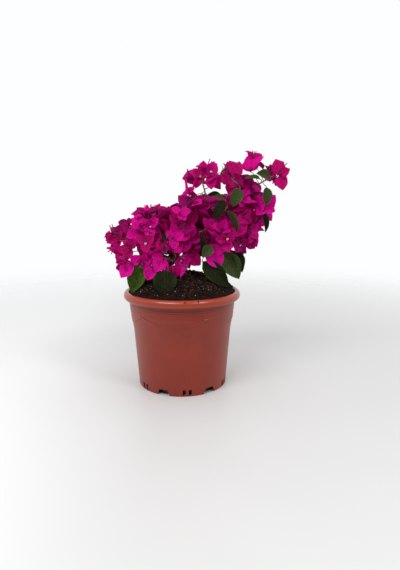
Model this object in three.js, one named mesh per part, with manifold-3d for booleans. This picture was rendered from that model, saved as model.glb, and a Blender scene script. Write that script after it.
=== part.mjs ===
// A young flowering shrub in a round plastic growing pot. Millimetres, +Z up.
// The origin is on the pot's axis, in the plane of its flat underside, and the plant's front faces -Y.
import * as THREE from "three";
import { mergeVertices } from "three/addons/utils/BufferGeometryUtils.js";
import Module from "manifold-3d";

// Pot: a tapered shell with a flared collar and a rolled rim that is open underneath.
const POT_HEIGHT = 156;
const FOOT_RADIUS = 72.5;
const COLLAR_FOOT = { z: 94, radius: 79.8 };
const COLLAR_TOP = { z: 122, radius: 84.4 };
const NECK = { z: 149, radius: 87 };
const RIM_RADIUS = 95;
const RIM_DEPTH = 12.5;
const WALL = 1.6;
const POT_SIDES = 36;

// Underside: the floor is flat in the middle and raised round its edge, behind the drainage openings.
const FLOOR_RADIUS = 64;
const RAISED_FLOOR = 7.5;
const OPENINGS = 6;
const OPENING_TURN = 5.3;
const SLOT = { width: 5, spacing: 9.2, bottom: 1.6, top: 11 };
const NOTCH = { ground: 21.5, top: 14, height: 9.6 };
const HANGER_HOLES = { places: 3, turn: 8.4, spacing: 19.7, radius: 1.4, circle: 92.8, depth: 7.4 };

// Potting mix: fills the pot and rises in a mound to a small flat where the stem stands.
const GAP = 0.35;
const SOIL_EDGE = 152.5;
const SOIL_TOP = 182;
const SOIL_FLAT = 14;
const SOIL_RINGS = 5;

// Stem: short, woody and leaning, widest where it meets the soil.
const STEM = { foot: [-9, 6], fork: [-5, 4, 201], flare: 9, radius: 5.6, forkRadius: 4.7 };
const LIMB_SIDES = 8;
const LIMB_STEPS = 5;

const wasm = await Module();
wasm.setup();

// ---------------------------------------------------------------- solids

// Only positions count in a solid, so faces that meet share their corners.
function solid(geometry) {
  const bare = geometry.clone();
  bare.deleteAttribute("normal");
  bare.deleteAttribute("uv");
  const merged = mergeVertices(bare, 1e-4);
  return new wasm.Manifold(
    new wasm.Mesh({
      numProp: 3,
      vertProperties: merged.attributes.position.array,
      triVerts: new Uint32Array(merged.index.array),
    }),
  );
}

function geometryOf(body) {
  const mesh = body.getMesh();
  const geometry = new THREE.BufferGeometry();
  geometry.setAttribute("position", new THREE.BufferAttribute(mesh.vertProperties, 3));
  geometry.setIndex(new THREE.BufferAttribute(mesh.triVerts, 1));
  return geometry;
}

function part(name, body, color, roughness) {
  const geometry = geometryOf(body);
  geometry.computeVertexNormals();
  const material = new THREE.MeshStandardMaterial({ color, roughness, metalness: 0 });
  const mesh = new THREE.Mesh(geometry, material);
  mesh.name = name;
  return mesh;
}

// A profile of [radius, z] pairs turned about the pot's axis. It runs up on the outside,
// so that the faces point out.
function turned(profile, sides) {
  const points = profile.map(([radius, z]) => new THREE.Vector2(radius, z));
  return solid(new THREE.LatheGeometry(points, sides).rotateX(Math.PI / 2));
}

// ---------------------------------------------------------------- pot

function potWall(z) {
  const marks = [{ z: 0, radius: FOOT_RADIUS }, COLLAR_FOOT, COLLAR_TOP, NECK, { ...NECK, z: POT_HEIGHT }];
  const above = marks.findIndex((mark) => z < mark.z);
  const low = marks[above - 1];
  const high = marks[above];
  return THREE.MathUtils.mapLinear(z, low.z, high.z, low.radius, high.radius);
}

function potShell() {
  const innerEdge = NECK.radius - WALL;
  const outside = [
    [0, 0],
    [FLOOR_RADIUS, 0],
    [FLOOR_RADIUS + 2, RAISED_FLOOR],
    [FOOT_RADIUS - WALL - 0.6, RAISED_FLOOR],
    [FOOT_RADIUS - WALL, 0],
    [FOOT_RADIUS, 0],
    [COLLAR_FOOT.radius, COLLAR_FOOT.z],
    [COLLAR_TOP.radius, COLLAR_TOP.z],
    [NECK.radius, NECK.z],
  ];
  const underRim = [
    [NECK.radius + 1.6, POT_HEIGHT - 2.8],
    [RIM_RADIUS - WALL - 1.4, POT_HEIGHT - 3.2],
    [RIM_RADIUS - WALL, POT_HEIGHT - 7],
    [RIM_RADIUS - 4.6, POT_HEIGHT - RIM_DEPTH + 1.4],
  ];
  const rim = [
    [RIM_RADIUS - 4.8, POT_HEIGHT - RIM_DEPTH],
    [RIM_RADIUS - 1.5, POT_HEIGHT - 11.3],
    [RIM_RADIUS, POT_HEIGHT - 7.2],
    [RIM_RADIUS - 0.9, POT_HEIGHT - 3.6],
    [RIM_RADIUS - 3.4, POT_HEIGHT - 0.7],
    [RIM_RADIUS - 6, POT_HEIGHT],
    [innerEdge + 1.2, POT_HEIGHT - 1.4],
    [innerEdge, POT_HEIGHT - 5],
  ];
  const inside = [COLLAR_TOP, COLLAR_FOOT].map((mark) => [mark.radius - WALL, mark.z]);
  const floor = [
    [potWall(RAISED_FLOOR) - WALL, RAISED_FLOOR + WALL],
    [FLOOR_RADIUS + 1, RAISED_FLOOR + WALL],
    [FLOOR_RADIUS - 1, WALL],
    [0, WALL],
  ];
  return turned([...outside, ...underRim, ...rim, ...inside, ...floor], POT_SIDES);
}

// An upright four-sided outline, as [across, z] pairs.
function upright(middle, bottomWidth, topWidth, bottom, top) {
  return [
    [middle - bottomWidth / 2, bottom],
    [middle + bottomWidth / 2, bottom],
    [middle + topWidth / 2, top],
    [middle - topWidth / 2, top],
  ];
}

// A bar along the radius at an angle, to cut a drainage opening through the wall's foot.
function radialBar(outline, angle) {
  const shape = new THREE.Shape(outline.map(([across, z]) => new THREE.Vector2(across, z)));
  const inner = FLOOR_RADIUS + 4.5;
  const bar = new THREE.ExtrudeGeometry(shape, { depth: FOOT_RADIUS + 4 - inner, bevelEnabled: false });
  bar.translate(0, 0, inner);
  bar.rotateX(Math.PI / 2);
  bar.rotateZ(angle);
  return solid(bar);
}

function pot() {
  let shell = potShell();
  const cut = (bar) => {
    shell = shell.subtract(bar);
  };
  for (let i = 0; i < OPENINGS; i++) {
    const slots = THREE.MathUtils.degToRad(OPENING_TURN + (360 / OPENINGS) * i);
    const notch = slots + Math.PI / OPENINGS;
    for (const side of [-1, 1]) {
      const middle = (side * SLOT.spacing) / 2;
      cut(radialBar(upright(middle, SLOT.width, SLOT.width, SLOT.bottom, SLOT.top), slots));
    }
    const below = (NOTCH.ground - NOTCH.top) / NOTCH.height;
    cut(radialBar(upright(0, NOTCH.ground + below, NOTCH.top, -1, NOTCH.height), notch));
  }
  for (let i = 0; i < HANGER_HOLES.places; i++) {
    for (const side of [-1, 1]) {
      const { radius, depth, circle } = HANGER_HOLES;
      const hole = new THREE.CylinderGeometry(radius, radius, depth, 6);
      hole.rotateX(Math.PI / 2);
      hole.translate(0, -circle, POT_HEIGHT + 1.2 - depth / 2);
      const pair = THREE.MathUtils.degToRad(HANGER_HOLES.turn + (360 / HANGER_HOLES.places) * i);
      hole.rotateZ(pair + (side * HANGER_HOLES.spacing) / 2 / circle);
      cut(solid(hole));
    }
  }
  return part("pot", shell, 0x8a3a2b, 0.45);
}

// ---------------------------------------------------------------- potting mix

function soil() {
  const inner = (z) => potWall(z) - WALL - GAP;
  const bottom = WALL + GAP;
  const raised = RAISED_FLOOR + WALL + GAP;
  const profile = [
    [0, bottom],
    [FLOOR_RADIUS - 1 - GAP, bottom],
    [FLOOR_RADIUS + 0.4, raised],
    [inner(raised) - 0.4, raised],
    [inner(COLLAR_FOOT.z), COLLAR_FOOT.z],
    [inner(COLLAR_TOP.z), COLLAR_TOP.z],
  ];
  const edge = inner(SOIL_EDGE);
  const mound = (radius) => (1 - (radius / edge) ** 3.4) ** 0.6;
  const top = mound(SOIL_FLAT);
  for (let i = 0; i <= SOIL_RINGS; i++) {
    const radius = THREE.MathUtils.lerp(edge, SOIL_FLAT, (i / SOIL_RINGS) ** 1.8);
    profile.push([radius, THREE.MathUtils.lerp(SOIL_EDGE, SOIL_TOP, mound(radius) / top)]);
  }
  profile.push([0, SOIL_TOP]);
  return part("potting_mix", turned(profile, POT_SIDES), 0x2a1d18, 0.95);
}

// ---------------------------------------------------------------- limbs

// A limb's section is a polygon that follows the limb's curve and shrinks along it.
function limbSolid(points, startRadius, endRadius) {
  const curve = new THREE.CatmullRomCurve3(points.map((point) => new THREE.Vector3(...point)));
  const unit = new THREE.Shape();
  for (let i = 0; i < LIMB_SIDES; i++) {
    const angle = (2 * Math.PI * i) / LIMB_SIDES;
    unit[i ? "lineTo" : "moveTo"](Math.cos(angle), Math.sin(angle));
  }
  const tube = new THREE.ExtrudeGeometry(unit, {
    steps: LIMB_STEPS,
    extrudePath: curve,
    bevelEnabled: false,
  });
  const rings = curve.getSpacedPoints(LIMB_STEPS);
  const place = tube.attributes.position;
  const corner = new THREE.Vector3();
  for (let i = 0; i < place.count; i++) {
    corner.fromBufferAttribute(place, i);
    const away = rings.map((ring) => Math.abs(ring.distanceTo(corner) - 1));
    const ring = away.indexOf(Math.min(...away));
    const radius = THREE.MathUtils.lerp(startRadius, endRadius, ring / LIMB_STEPS);
    corner.sub(rings[ring]).multiplyScalar(radius).add(rings[ring]);
    place.setXYZ(i, ...corner);
  }
  return solid(tube);
}

// The stem's rings lie flat: it stands on a flat cut and flares out over the first few millimetres.
function stemSolid(grow = 0) {
  const [footX, footY] = STEM.foot;
  const [forkX, forkY, forkZ] = STEM.fork;
  const footZ = SOIL_TOP + GAP;
  const height = forkZ + grow - footZ;
  const rings = 5;
  const profile = [[0, 0]];
  for (let i = 0; i <= rings; i++) {
    const up = i / rings;
    const taper = THREE.MathUtils.lerp(STEM.radius, STEM.forkRadius, up);
    profile.push([taper + (STEM.flare - STEM.radius) * Math.exp(-8 * up) + grow, up * height]);
  }
  profile.push([0, height]);
  const points = profile.map(([radius, z]) => new THREE.Vector2(radius, z));
  const turnedStem = new THREE.LatheGeometry(points, 12).rotateX(Math.PI / 2);
  const lean = new THREE.Matrix4().set(
    1, 0, (forkX - footX) / height, footX,
    0, 1, (forkY - footY) / height, footY,
    0, 0, 1, footZ,
    0, 0, 0, 1,
  );
  return solid(turnedStem.applyMatrix4(lean));
}

// ---------------------------------------------------------------- foliage

// Each mass is an ellipsoid with its own lumps, drawn out towards one side.
// at: centre; half: half its size along X, Y and Z; lean: turn about Y in degrees;
// towards and reach: the side it is drawn out to, and by how many millimetres.
function massSolid(mass, index, grow = 0) {
  const [halfX, halfY, halfZ] = mass.half;
  const ball = new THREE.IcosahedronGeometry(1, 2);
  const towards = new THREE.Vector3(...(mass.towards ?? [0, 0, 1])).normalize();
  const reach = mass.reach ?? 0;
  const place = ball.attributes.position;
  const side = new THREE.Vector3();
  const out = new THREE.Vector3();
  for (let i = 0; i < place.count; i++) {
    side.fromBufferAttribute(place, i).normalize();
    const lumps =
      Math.sin(4.2 * side.x + 1.7 * index) * Math.cos(3.6 * side.y - index) +
      Math.sin(4.8 * side.z + 2.3 * index) * Math.cos(3.1 * side.x + index);
    out.set(side.x * halfX, side.y * halfY, side.z * halfZ);
    out.multiplyScalar(1 + 0.07 * lumps);
    out.addScaledVector(towards, reach * Math.exp(5 * (side.dot(towards) - 1)));
    out.addScaledVector(side, grow);
    place.setXYZ(i, ...out);
  }
  ball.rotateY(THREE.MathUtils.degToRad(mass.lean ?? 0));
  ball.translate(...mass.at);
  return solid(ball);
}

const MASSES = {
  // The low spreading side, to the left.
  mass_middle: { at: [-8, -2, 245], half: [34, 40, 38], towards: [-0.3, 0, 1], reach: 10 },
  mass_left: { at: [-58, -10, 252], half: [37, 38, 29], lean: -24, towards: [0.5, 0, 1], reach: 7 },
  mass_left_tip: { at: [-98, -4, 238], half: [19, 28, 26], towards: [-1, -0.1, 0.1], reach: 5 },
  mass_left_low: { at: [-72, -34, 207], half: [30, 27, 20], lean: 10, towards: [-0.6, 0, -1], reach: 7 },
  mass_front: { at: [-16, -50, 212], half: [30, 19, 25] },
  mass_back_left: { at: [-48, 48, 240], half: [37, 27, 32] },
  // The arching side, to the right.
  mass_right: { at: [64, -8, 236], half: [37, 38, 31], lean: -10, towards: [0.6, 0, -0.6], reach: 6 },
  mass_right_edge: { at: [106, 4, 254], half: [17, 32, 34] },
  mass_centre: { at: [26, -8, 291], half: [33, 31, 19], lean: -8, towards: [-1, 0, 0.3], reach: 5 },
  mass_back_middle: { at: [20, 54, 246], half: [34, 26, 36] },
  mass_back_right: { at: [78, 50, 262], half: [33, 27, 31] },
  mass_neck: { at: [72, -4, 290], half: [20, 25, 21] },
  mass_shoulder: { at: [104, -2, 310], half: [21, 26, 21] },
  mass_upper_middle: { at: [80, 2, 333], half: [20, 24, 27], towards: [-0.4, 0, 1], reach: 4 },
  mass_upper_left: { at: [31, 0, 334], half: [30, 22, 21], lean: -18, towards: [0.4, 0, 1], reach: 4 },
  // The drooping end of the longest shoot.
  mass_top: { at: [113, 0, 357], half: [18, 17, 15], lean: -8, towards: [-0.2, 0, 1], reach: 2 },
  mass_tip: { at: [155, 2, 343], half: [17, 17, 24], lean: 12 },
  mass_hanging_shoot: { at: [138, -2, 283], half: [12, 13, 30], lean: 8 },
  // The broad green leaves under the bracts.
  leaves_left: { at: [-71, -49, 184], half: [13, 10, 20], lean: 20 },
  leaves_front: { at: [-27, -78, 180], half: [16, 6, 14] },
  leaves_right: { at: [54, -49, 190], half: [21, 11, 15], lean: 30 },
  leaves_right_edge: { at: [85, -25, 200], half: [15, 12, 19], lean: -15 },
  leaves_back: { at: [-12, 60, 197], half: [26, 11, 14] },
};

// Limbs run from the fork to where they enter a mass, and on between masses.
const FORK = [STEM.fork[0], STEM.fork[1], STEM.fork[2] - 4];
const LIMBS = {
  bough_left: { path: [FORK, [-28, -2, 212], [-50, -6, 224], [-66, -10, 240]], radius: [3.9, 2.4] },
  bough_middle: { path: [FORK, [-6, 2, 214], [-8, 0, 232]], radius: [3.7, 2.8] },
  bough_right: { path: [FORK, [18, 3, 211], [40, 0, 218], [62, -6, 232]], radius: [4.2, 2.8] },
  bough_back: { path: [FORK, [4, 22, 210], [10, 38, 224], [14, 50, 240]], radius: [3.6, 2.3] },
  shoot_right: { path: [[72, -4, 256], [80, -2, 274], [94, -1, 292], [104, -1, 304]], radius: [2.6, 2] },
  shoot_upper: { path: [[36, -6, 296], [38, -3, 309], [36, 0, 322], [34, 0, 332]], radius: [1.8, 1.3] },
  shoot_tip: { path: [[108, -1, 314], [124, 0, 326], [140, 1, 334], [152, 2, 342]], radius: [2, 1.2] },
  shoot_hanging: { path: [[112, -1, 308], [126, -1, 309], [136, -2, 302], [139, -2, 290]], radius: [2, 1] },
};

// Cuts a body back from its neighbours and keeps the largest piece that is left.
function clearOf(body, neighbours) {
  const left = neighbours.reduce((rest, neighbour) => rest.subtract(neighbour), body);
  return left.decompose().sort((a, b) => b.volume() - a.volume())[0];
}

function plant() {
  const group = new THREE.Group();
  group.add(part("stem", stemSolid(), 0x6f6a4c, 0.8));
  const neighbours = [stemSolid(2 * GAP)];
  Object.entries(MASSES).forEach(([name, mass], index) => {
    const leafy = name.startsWith("leaves");
    const body = clearOf(massSolid(mass, index), neighbours);
    group.add(part(name, body, leafy ? 0x35502a : 0xa80a6e, 0.8));
    neighbours.push(massSolid(mass, index, GAP + 0.15));
  });
  Object.entries(LIMBS).forEach(([name, { path, radius }]) => {
    group.add(part(name, clearOf(limbSolid(path, ...radius), neighbours), 0x6f6a4c, 0.8));
    neighbours.push(limbSolid(path, ...radius.map((value) => value + GAP)));
  });
  return group;
}

const pottedShrub = new THREE.Group();
pottedShrub.add(pot(), soil(), plant());
export default pottedShrub;
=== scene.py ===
"""A young bougainvillea in a round growing pot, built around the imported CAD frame.

Metres, +Z up. The pot's axis passes through the origin and the plant's front faces -Y. Angles round
the pot are counted from the front, towards +X. The file follows the object as it is put together.
"""
import math

import bpy
import numpy as np
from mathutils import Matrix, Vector
from mathutils.bvhtree import BVHTree


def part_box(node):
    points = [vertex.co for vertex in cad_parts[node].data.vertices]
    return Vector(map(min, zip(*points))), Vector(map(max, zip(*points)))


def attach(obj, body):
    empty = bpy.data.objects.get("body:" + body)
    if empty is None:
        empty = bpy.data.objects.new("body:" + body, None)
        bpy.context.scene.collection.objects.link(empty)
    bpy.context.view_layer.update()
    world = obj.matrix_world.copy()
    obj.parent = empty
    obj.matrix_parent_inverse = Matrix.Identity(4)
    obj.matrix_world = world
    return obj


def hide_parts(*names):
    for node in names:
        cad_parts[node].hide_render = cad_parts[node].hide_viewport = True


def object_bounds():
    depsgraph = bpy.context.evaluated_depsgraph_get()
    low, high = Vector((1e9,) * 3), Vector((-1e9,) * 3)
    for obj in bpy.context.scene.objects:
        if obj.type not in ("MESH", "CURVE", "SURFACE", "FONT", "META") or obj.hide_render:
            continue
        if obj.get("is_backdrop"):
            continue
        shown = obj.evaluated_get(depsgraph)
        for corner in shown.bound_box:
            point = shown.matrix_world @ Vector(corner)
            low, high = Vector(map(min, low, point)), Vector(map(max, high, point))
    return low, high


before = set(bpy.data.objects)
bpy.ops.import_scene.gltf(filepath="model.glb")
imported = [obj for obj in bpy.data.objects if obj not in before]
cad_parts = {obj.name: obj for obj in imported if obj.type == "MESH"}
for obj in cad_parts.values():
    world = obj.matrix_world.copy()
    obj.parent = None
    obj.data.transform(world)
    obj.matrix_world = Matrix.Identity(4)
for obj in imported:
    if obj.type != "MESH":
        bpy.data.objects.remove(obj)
cad_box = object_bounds()

# ---------------------------------------------------------------- growing pot
# A thin-walled pot moulded in one piece from brown-red plastic. The rim is rolled over and open
# underneath, a collar below it carries faint raised lines, and the drainage openings go through
# the wall's foot and on into the raised edge of the floor.

POT_WALL = 0.0016
FOOT_RADIUS = 0.0725
FLOOR_RADIUS = 0.064
RAISED_FLOOR = 0.0075
EDGE_ROUND = 0.0003
POT_COLUMNS = 420

# Radius and height of the outer wall's bends.
COLLAR_FOOT = (0.0798, 0.094)
COLLAR_SWELL = (0.0813, 0.103)
COLLAR_TOP = (0.0844, 0.122)
LINES_END = (0.0861, 0.140)
NECK = (0.087, 0.149)

# Six pairs of slots, and six notches midway between them, cut between two radii.
OPENINGS = 6
OPENING_TURN = math.radians(5.3)
OPENING_REACH = (0.0685, 0.078)
SLOT_SPACING = 0.0092
SLOT_WIDTH = 0.005
SLOT_HEIGHTS = (0.0016, 0.011)
NOTCH_WIDTHS = (0.0223, 0.014)
NOTCH_HEIGHTS = (-0.001, 0.0096)

# Three pairs of small holes through the rim's outer slope, for a wire hanger.
HANGER_PLACES = 3
HANGER_DEGREES = 8.4
HOLE_CIRCLE = 0.0928
HOLE_SPACING = 0.0197
HOLE_RADIUS = 0.0014
HOLE_HEIGHTS = (0.1498, 0.1572)

# Raised lines on the collar: where they run, how far they stand out, and half their width.
RING_HEIGHTS = (0.1265, 0.1300, 0.1335, 0.1370)
RING_RELIEF, RING_WIDTH = 0.00042, 0.0008
SWAGS = 5
SWAG_TURN = math.radians(-11)
SWAG_TOP = 0.1243
SWAG_SAGS = (0.0088, 0.0125, 0.0162)
SWAG_RELIEF, SWAG_WIDTH = 0.00055, 0.0010
KNOB_RELIEF, KNOB_WIDTH = 0.0012, 0.0017
KNOB_PLACE = (0.0045, 0.1247)


def grid_faces(rows, columns, around=False):
    """Quads between the points of a grid stored row by row; around joins the last column to the first."""
    row, column = np.mgrid[0:rows - 1, 0:columns if around else columns - 1]
    beside = (column + 1) % columns
    below, above = row * columns, (row + 1) * columns
    return np.stack([below + column, below + beside, above + beside, above + column], -1).reshape(-1, 4)


def mesh_piece(name, points, *face_groups, uv=None):
    """A smooth object at the origin. Each face group is an array of faces with one number of corners.
    uv gives each point's place in the piece's own map."""
    corners = np.concatenate([group.ravel() for group in face_groups]).astype(np.int32)
    counts = np.concatenate([np.full(len(group), group.shape[1]) for group in face_groups])
    starts = np.concatenate([[0], np.cumsum(counts)[:-1]]).astype(np.int32)
    mesh = bpy.data.meshes.new(name)
    mesh.vertices.add(len(points))
    mesh.vertices.foreach_set("co", np.asarray(points, np.float32).ravel())
    mesh.loops.add(len(corners))
    mesh.loops.foreach_set("vertex_index", corners)
    mesh.polygons.add(len(counts))
    mesh.polygons.foreach_set("loop_start", starts)
    mesh.update(calc_edges=True)
    if uv is not None:
        layer = mesh.uv_layers.new(name="OFBake")
        layer.uv.foreach_set("vector", np.asarray(uv, np.float32)[corners].ravel())
    mesh.shade_smooth()
    piece = bpy.data.objects.new(name, mesh)
    bpy.context.scene.collection.objects.link(piece)
    return piece


def turned(radius, height, columns):
    """Points and faces of a profile carried round Z: at the angle a a point lies at
    (radius sin a, -radius cos a, height). radius and height are a column of rows, or whole grids.
    Each end of the profile closes on a point of the axis."""
    angle = np.arange(columns) * (2 * math.pi / columns)
    shape = (len(radius), columns)
    radius = np.broadcast_to(radius, shape)
    height = np.broadcast_to(height, shape)
    grid = np.stack([radius * np.sin(angle), -radius * np.cos(angle), height], -1).reshape(-1, 3)
    first, last = len(grid), len(grid) + 1
    poles = [[0, 0, height[0].mean()], [0, 0, height[-1].mean()]]
    step = np.arange(columns)
    beside = (step + 1) % columns
    top = (shape[0] - 1) * columns
    fans = np.concatenate([
        np.stack([np.full(columns, first), beside, step], -1),
        np.stack([np.full(columns, last), top + step, top + beside], -1),
    ])
    return np.vstack([grid, poles]), grid_faces(*shape, around=True), fans


def run(start, end, rows):
    """Points on the straight line from start up to, but not at, end."""
    return np.linspace(start, end, rows, endpoint=False)


def moved_in(point, gap):
    """A point of the outer wall, moved towards the axis."""
    return point[0] - gap, point[1]


def smooth_path(keys, step):
    """A Catmull-Rom curve through key points, in the plane or in space, cut into about equal steps."""
    keys = np.array(keys)
    padded = np.vstack([2 * keys[0] - keys[1], keys, 2 * keys[-1] - keys[-2]])
    t = np.linspace(0, 1, 24, endpoint=False)[:, None]
    runs = []
    for a, b, c, d in zip(padded, padded[1:], padded[2:], padded[3:]):
        square, cube = 2 * a - 5 * b + 4 * c - d, 3 * b - a - 3 * c + d
        runs.append(0.5 * (2 * b + (c - a) * t + square * t ** 2 + cube * t ** 3))
    dense = np.vstack([*runs, keys[-1:]])
    length = np.concatenate([[0], np.cumsum(np.linalg.norm(np.diff(dense, axis=0), axis=1))])
    even = np.linspace(0, length[-1], max(3, int(length[-1] / step) + 1))
    return np.stack([np.interp(even, length, column) for column in dense.T], -1)


def raised_lines(angle, height):
    """Height of the collar's relief: level rings, swags that hang as parabolas between pairs of
    small knobs, and the knobs, each a narrow bell curve of the distance to its line."""
    bell = lambda distance, width: np.exp(-((distance / width) ** 2))
    relief = 0 * angle * height
    for ring in RING_HEIGHTS:
        relief = relief + RING_RELIEF * bell(height - ring, RING_WIDTH)
    half = math.pi / SWAGS
    from_middle = (angle - SWAG_TURN + half) % (2 * half) - half
    for sag in SWAG_SAGS:
        line = SWAG_TOP - sag * (1 - (from_middle / half) ** 2)
        slope = 2 * sag * from_middle / half ** 2 / COLLAR_TOP[0]
        relief = relief + SWAG_RELIEF * bell((height - line) / np.sqrt(1 + slope ** 2), SWAG_WIDTH)
    across = (half - np.abs(from_middle)) * COLLAR_TOP[0]
    knob = np.hypot(across - KNOB_PLACE[0], height - KNOB_PLACE[1])
    return relief + KNOB_RELIEF * bell(knob, KNOB_WIDTH)


def prism(outline, near, far, turn):
    """A closed bar of an upright outline of (across, height) points, from one radius to another."""
    across, height = np.tile(np.array(outline), (2, 1)).T
    count = len(outline)
    out = np.repeat([near, far], count)
    points = np.stack([
        across * math.cos(turn) + out * math.sin(turn),
        across * math.sin(turn) - out * math.cos(turn),
        height,
    ], -1)
    step = np.arange(count)
    beside = (step + 1) % count
    sides = np.stack([step, beside, count + beside, count + step], -1)
    return points, np.vstack([sides, step[::-1], count + step])


def block(middle, bottom_width, top_width, bottom, top):
    """An upright four-sided outline, anticlockwise as seen from outside the pot."""
    return [(middle - bottom_width / 2, bottom), (middle + bottom_width / 2, bottom),
            (middle + top_width / 2, top), (middle - top_width / 2, top)]


def gathered(parts):
    """Several (points, faces) pairs as one array of points and one of faces."""
    offsets = np.cumsum([0] + [len(points) for points, _ in parts])
    points = np.vstack([points for points, _ in parts])
    return points, np.vstack([faces + offset for (_, faces), offset in zip(parts, offsets)])


def cut_away(piece, points, *face_groups):
    """Cuts closed shapes out of a piece for good."""
    cutter = mesh_piece("cutter", points, *face_groups)
    modifier = piece.modifiers.new("cut", "BOOLEAN")
    modifier.object = cutter
    modifier.solver = "MANIFOLD"
    cut = bpy.data.meshes.new_from_object(piece.evaluated_get(bpy.context.evaluated_depsgraph_get()))
    piece.modifiers.clear()
    piece.data = cut
    bpy.data.objects.remove(cutter)


class Signal:
    """A shader socket that takes part in Python expressions: each operator adds a Math node."""

    def __init__(self, paint, socket):
        self.paint, self.socket = paint, socket

    def math(self, operation, *values):
        """A Math node on signals and numbers."""
        return self.paint.node("ShaderNodeMath", {"operation": operation}, dict(enumerate(values)))

    def __add__(self, other):
        return self.math("ADD", self, other)

    def __radd__(self, other):
        return self.math("ADD", other, self)

    def __sub__(self, other):
        return self.math("SUBTRACT", self, other)

    def __rsub__(self, other):
        return self.math("SUBTRACT", other, self)

    def __mul__(self, other):
        return self.math("MULTIPLY", self, other)

    def __rmul__(self, other):
        return self.math("MULTIPLY", other, self)

    def __pow__(self, other):
        return self.math("POWER", self, other)

    def size(self):
        """The value without its sign."""
        return self.math("ABSOLUTE", self)

    def fraction(self):
        """The value less the whole number below it."""
        return self.math("FRACT", self)

    def between(self, low, high):
        """0 below low, 1 above high, and a smooth step from one to the other."""
        values = {"Value": self, "From Min": low, "From Max": high}
        return self.paint.node("ShaderNodeMapRange", {"interpolation_type": "SMOOTHSTEP"}, values)


class Paint:
    """A material being put together around its Principled shader."""

    def __init__(self, name, **sockets):
        self.material = bpy.data.materials.new(name)
        self.material.use_nodes = True
        self.tree = self.material.node_tree
        self.shader = self.tree.nodes["Principled BSDF"]
        self.set_shader(sockets)

    def set(self, node, values):
        """Puts a link or a plain value on each named or numbered socket."""
        for socket, value in values.items():
            if isinstance(value, Signal):
                self.tree.links.new(value.socket, node.inputs[socket])
            else:
                is_colour = isinstance(value, tuple) and node.inputs[socket].type == "RGBA"
                node.inputs[socket].default_value = (*value, 1) if is_colour else value

    def set_shader(self, sockets):
        """Sets the Principled shader's sockets, their names written with underlines for spaces."""
        self.set(self.shader, {socket.replace("_", " "): value for socket, value in sockets.items()})

    def node(self, kind, settings, values, output=0):
        """Adds a node: its settings first, then the values or links of its sockets."""
        node = self.tree.nodes.new(kind)
        for setting, value in settings.items():
            setattr(node, setting, value)
        self.set(node, values)
        return Signal(self, node.outputs[output])

    def place(self, output="Object"):
        """Where a point of the surface is, in metres, or in the piece's own map with output UV."""
        return self.node("ShaderNodeTexCoord", {}, {}, output)

    def parts_of(self, vector):
        """The three parts of a vector, each on its own."""
        split = self.node("ShaderNodeSeparateXYZ", {}, {0: vector})
        return [Signal(self, socket) for socket in split.socket.node.outputs]

    def stretched(self, vector, scale):
        """A place whose three parts are scaled each on its own, to draw a pattern out."""
        return self.node("ShaderNodeMapping", {}, {"Vector": vector, "Scale": scale})

    def noise(self, vector, scale, detail=3.0, roughness=0.55):
        """Cloudy values about 0.5, with features of about 1 / scale."""
        values = {"Vector": vector, "Scale": scale, "Detail": detail, "Roughness": roughness}
        return self.node("ShaderNodeTexNoise", {}, values, "Fac")

    def cells(self, vector, scale, feature="F1"):
        """Distance to the nearest of scattered points, or to the border between their cells."""
        values = {"Vector": vector, "Scale": scale}
        return self.node("ShaderNodeTexVoronoi", {"feature": feature}, values, "Distance")

    def mixed(self, factor, first, second):
        """A colour from first, at 0, to second, at 1."""
        return self.node("ShaderNodeMix", {"data_type": "RGBA"}, {0: factor, 6: first, 7: second}, 2)

    def bumped(self, height, distance, strength=1.0):
        """Normals of a surface raised by height times distance."""
        values = {"Height": height, "Distance": distance, "Strength": strength}
        return self.node("ShaderNodeBump", {}, values)

    def blended(self, factor, other):
        """Shows another shader in place of the Principled one, by a factor from 0 to 1."""
        own = Signal(self, self.shader.outputs[0])
        both = self.node("ShaderNodeMixShader", {}, {0: factor, 1: own, 2: other})
        self.set(self.tree.nodes["Material Output"], {"Surface": both})

    def finish(self, piece, **sockets):
        """Links what changes over the surface, and gives the piece the material."""
        self.set_shader(sockets)
        piece.data.materials.clear()
        piece.data.materials.append(self.material)


under_rim = smooth_path([
    (0.0870, 0.1500), (0.0874, 0.1520), (0.0888, 0.1534), (0.0910, 0.1534),
    (0.0928, 0.1515), (0.0934, 0.1488), (0.0926, 0.1462), (0.0904, 0.1448),
], 0.0016)
over_rim = smooth_path([
    (0.0902, 0.1436), (0.0928, 0.1440), (0.0944, 0.1458), (0.0950, 0.1488),
    (0.0946, 0.1516), (0.0931, 0.1541), (0.0909, 0.1556), (0.0888, 0.1560),
    (0.0870, 0.1550), (0.0860, 0.1530), (0.0854, 0.1505),
], 0.0009)
ring_inner = FOOT_RADIUS - POT_WALL
ring_root = (ring_inner - 0.0006, RAISED_FLOOR)
floor_edge = (FLOOR_RADIUS + 0.002, RAISED_FLOOR)
outside = np.vstack([
    run((0.001, 0), (FLOOR_RADIUS, 0), 6),
    run((FLOOR_RADIUS, 0), floor_edge, 2),
    run(floor_edge, ring_root, 3),
    run(ring_root, (ring_inner, 0), 4),
    [(ring_inner, EDGE_ROUND), (ring_inner + EDGE_ROUND, 0)],
    [(FOOT_RADIUS - EDGE_ROUND, 0), (FOOT_RADIUS, EDGE_ROUND)],
    run((FOOT_RADIUS + 0.0001, 0.001), COLLAR_FOOT, 9),
    run(COLLAR_FOOT, COLLAR_SWELL, 4),
    run(COLLAR_SWELL, COLLAR_TOP, 38),
    run(COLLAR_TOP, LINES_END, 36),
    run(LINES_END, NECK, 3),
])
inner_floor = RAISED_FLOOR + POT_WALL
foot_at_floor = FOOT_RADIUS + (COLLAR_FOOT[0] - FOOT_RADIUS) * inner_floor / COLLAR_FOOT[1]
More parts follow.
